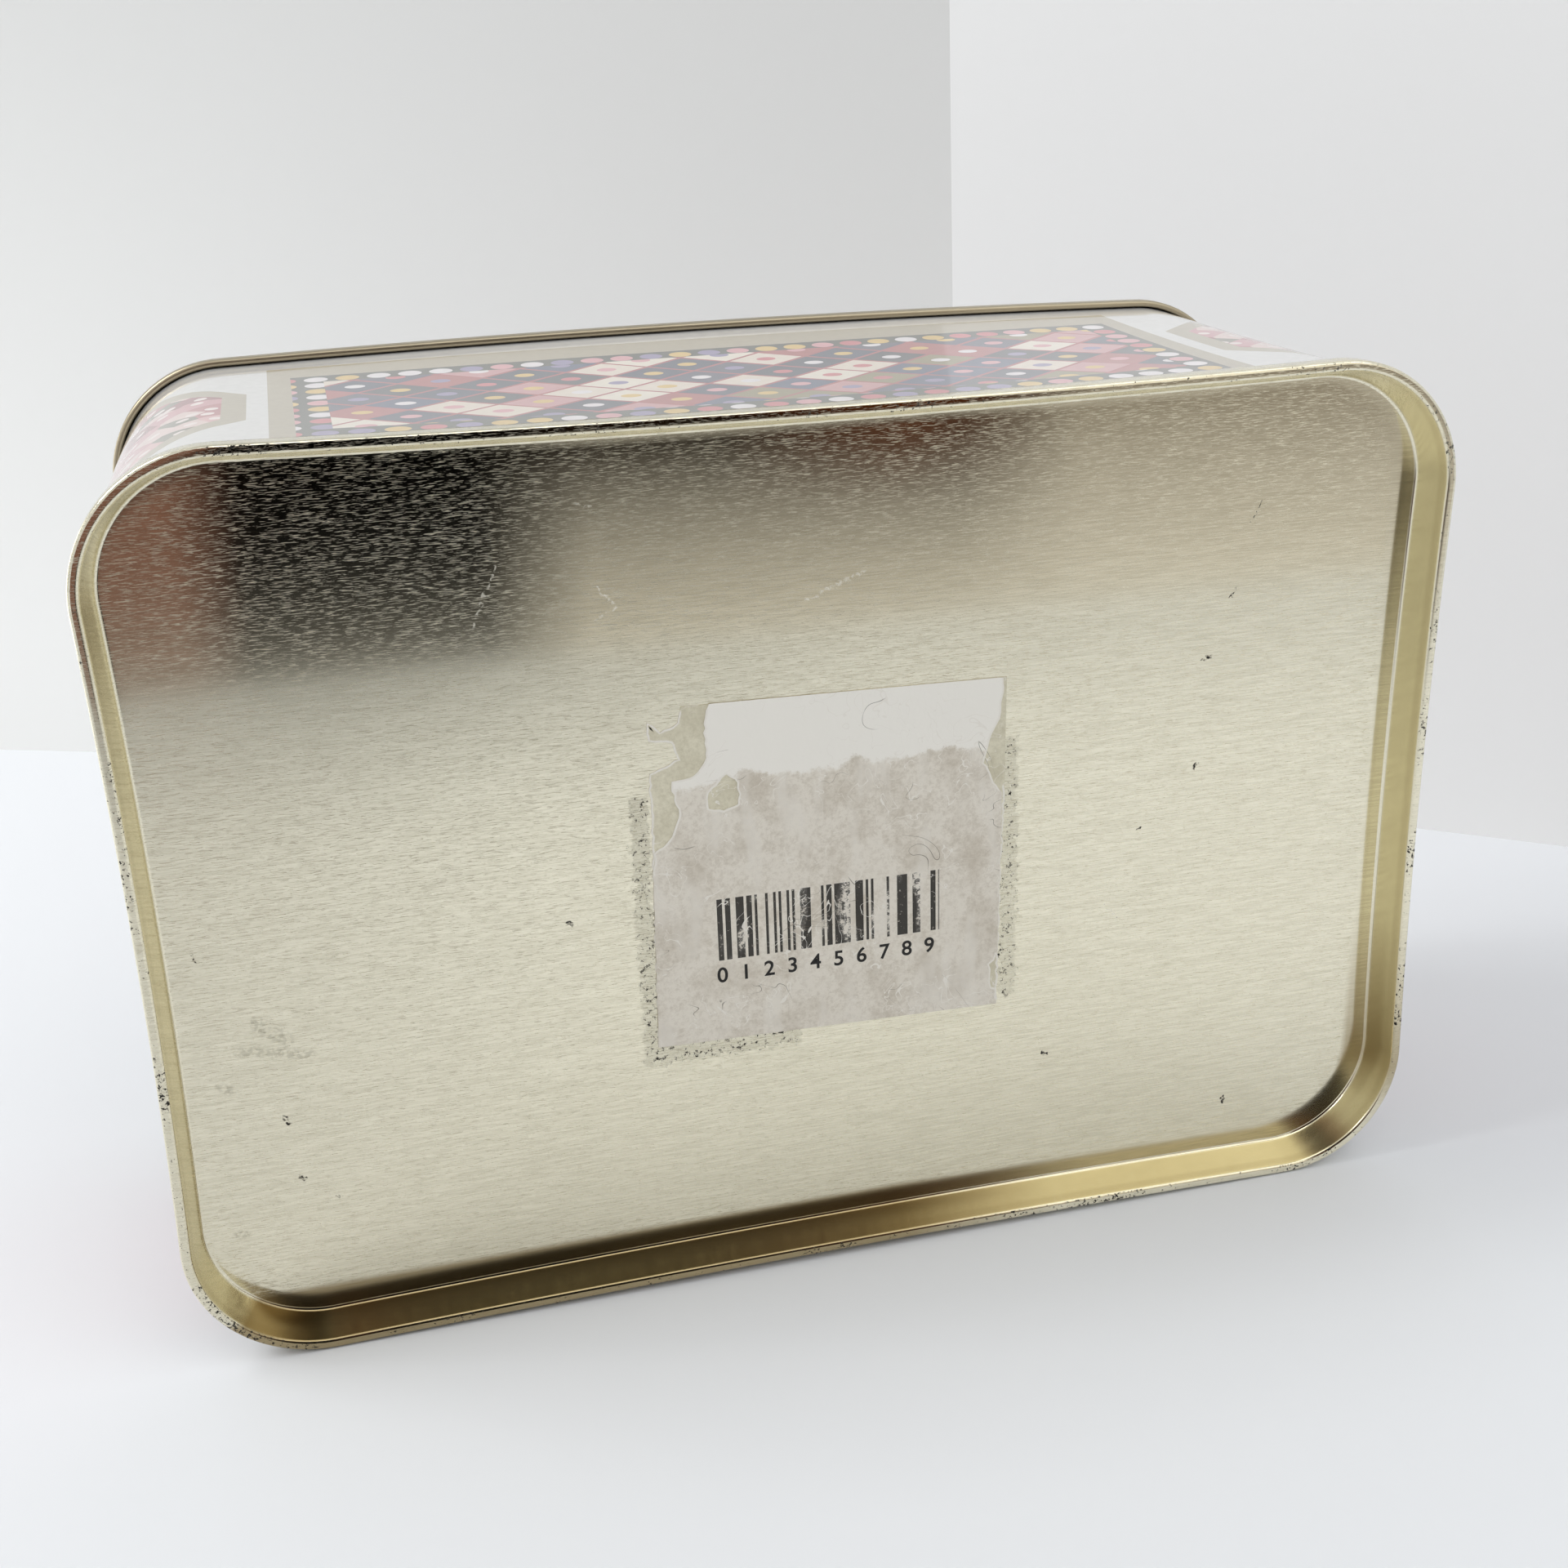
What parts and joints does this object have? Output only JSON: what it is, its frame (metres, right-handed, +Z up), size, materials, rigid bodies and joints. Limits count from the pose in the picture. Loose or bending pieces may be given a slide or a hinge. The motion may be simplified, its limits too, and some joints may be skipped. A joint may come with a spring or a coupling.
{
  "type": "tin box",
  "caption": "Rectangular rounded-corner tinplate box with a seamed, sunk bottom, a torn paper sticker under it and a slip lid that lifts off.",
  "frame": {"origin": "middle of the flat rim the box stands on", "axes": "+Z up towards the lid, X along the long side, -Y out of the printed front"},
  "size_m": [0.171, 0.122, 0.0726],
  "materials": {
    "gold_lacquered_tinplate": "pale gold lacquer on rolled tinplate, satin, with fine rolling grain",
    "printed_tinplate_body": "glossy printed tinplate, white ground with framed panels, gold lacquer inside",
    "printed_tinplate_lid": "glossy printed tinplate, white ground, with a bare worn curl and gold lacquer inside",
    "stained_paper": "thin grey-beige paper, stained with glue",
    "white_paper": "thin white paper, worn and stained"
  },
  "bodies": {
    "box": {"body_shell": "printed_tinplate_body", "bottom_end": "gold_lacquered_tinplate", "label_lower_ply": "stained_paper", "label_upper_ply": "white_paper"},
    "lid": {"lid": "printed_tinplate_lid"}
  },
  "joints": [
    {"name": "lid_lift", "type": "slide", "parent": "box", "child": "lid", "axis": [0, 0, 1], "range_m": [0, 0.03]}
  ]
}
